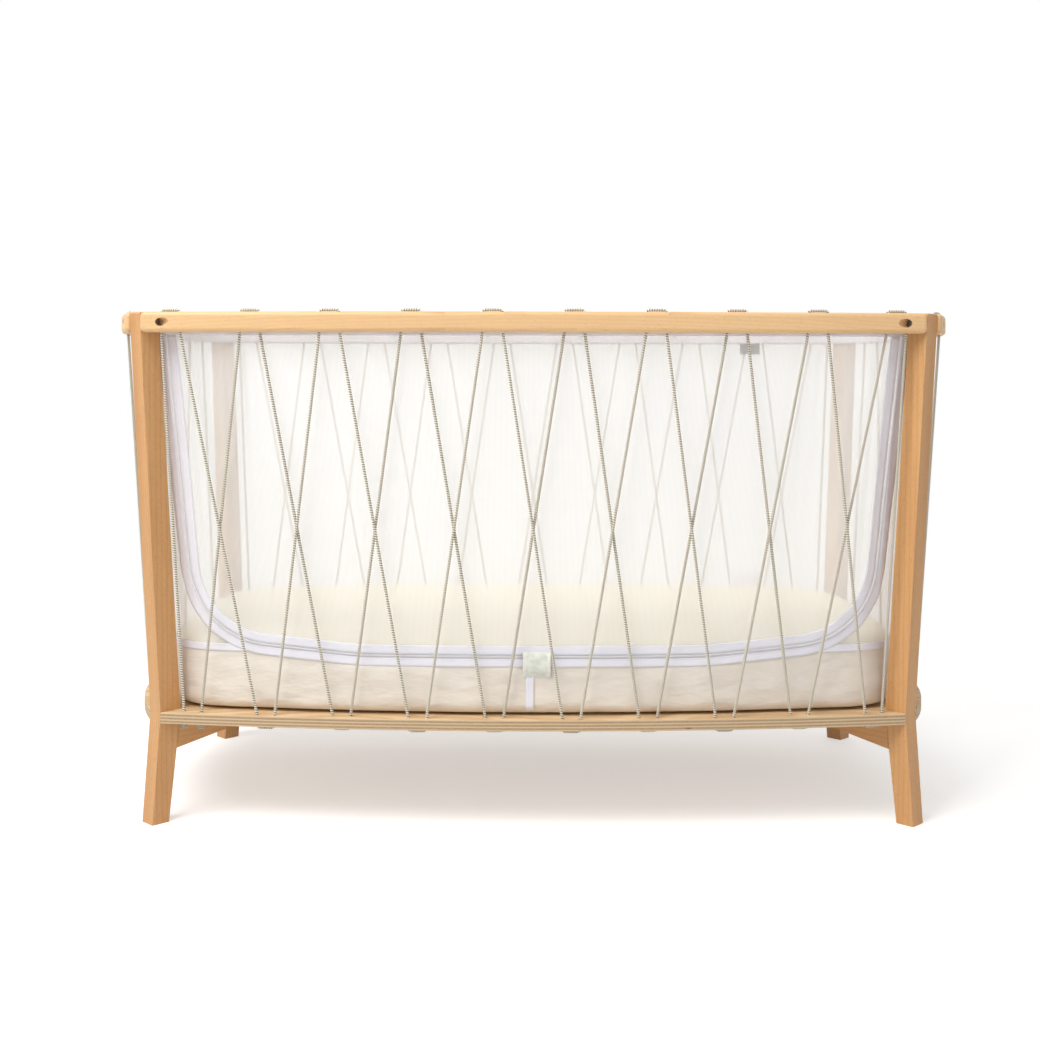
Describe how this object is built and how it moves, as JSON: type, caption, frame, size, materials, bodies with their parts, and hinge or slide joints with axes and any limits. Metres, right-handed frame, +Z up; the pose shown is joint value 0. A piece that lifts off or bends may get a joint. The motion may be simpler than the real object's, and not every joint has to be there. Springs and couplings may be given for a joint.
{
  "type": "baby crib",
  "caption": "Bow-sided wooden baby crib with angled plank posts, elastic cord lacing on every side, a zipped net liner and a fitted mattress.",
  "frame": {"origin": "on the floor, under the middle of the crib", "axes": "+Z up; +X along the crib to the right as seen from its front; the front, with the zip, faces -Y"},
  "size_m": [1.442, 0.7182, 0.8351],
  "materials": {
    "beech": "satin",
    "plywood": "satin",
    "steel": "satin",
    "cord": "matte",
    "foam": "matte",
    "mattress_ticking": "matte",
    "cotton": "matte",
    "net": "matte",
    "white_tape": "matte",
    "nylon": "satin",
    "tag_cloth": "matte"
  },
  "bodies": {
    "frame": {"arm_back_left": "beech", "arm_back_right": "beech", "arm_dowels": "beech", "arm_front_left": "beech", "arm_front_right": "beech", "base_board": "plywood", "base_cover": "cotton", "base_strap": "white_tape", "board_screws": "steel", "care_label": "white_tape", "hem_back": "white_tape", "hem_front": "white_tape", "hem_left": "white_tape", "hem_right": "white_tape", "hem_snaps": "nylon", "hem_tag": "tag_cloth", "lacing_cord_back": "cord", "lacing_cord_front": "cord", "lacing_cord_left": "cord", "lacing_cord_right": "cord", "lacing_knots": "cord", "net_back": "net", "net_door": "net", "net_front_left": "net", "net_front_right": "net", "net_left": "net", "net_right": "net", "post_back_left": "beech", "post_back_right": "beech", "post_front_left": "beech", "post_front_right": "beech", "rail_back": "beech", "rail_bolts": "steel", "rail_front": "beech", "rail_left": "beech", "rail_right": "beech", "seam_binding": "white_tape", "threaded_inserts": "steel", "zip_coil": "nylon", "zip_garage": "tag_cloth", "zip_tape_inner": "white_tape", "zip_tape_outer": "white_tape"},
    "mattress": {"mattress_core": "foam", "mattress_cover_top": "mattress_ticking", "mattress_cover_base": "mattress_ticking"},
    "zip_slider_left": {"zip_slider_left": "nylon"},
    "zip_slider_right": {"zip_slider_right": "nylon"}
  },
  "joints": [
    {"name": "mattress_lift", "type": "slide", "parent": "frame", "child": "mattress", "axis": [0, 0, 1], "range_m": [0, 0.66]},
    {"name": "zip_left_run", "type": "hinge", "parent": "frame", "child": "zip_slider_left", "pos_m": [0, 2.82583, 0.277], "axis": [0, 0, 1], "range_deg": [-4.37, 0]},
    {"name": "zip_right_run", "type": "hinge", "parent": "frame", "child": "zip_slider_right", "pos_m": [0, 2.82583, 0.277], "axis": [0, 0, 1], "range_deg": [0, 4.13]}
  ]
}
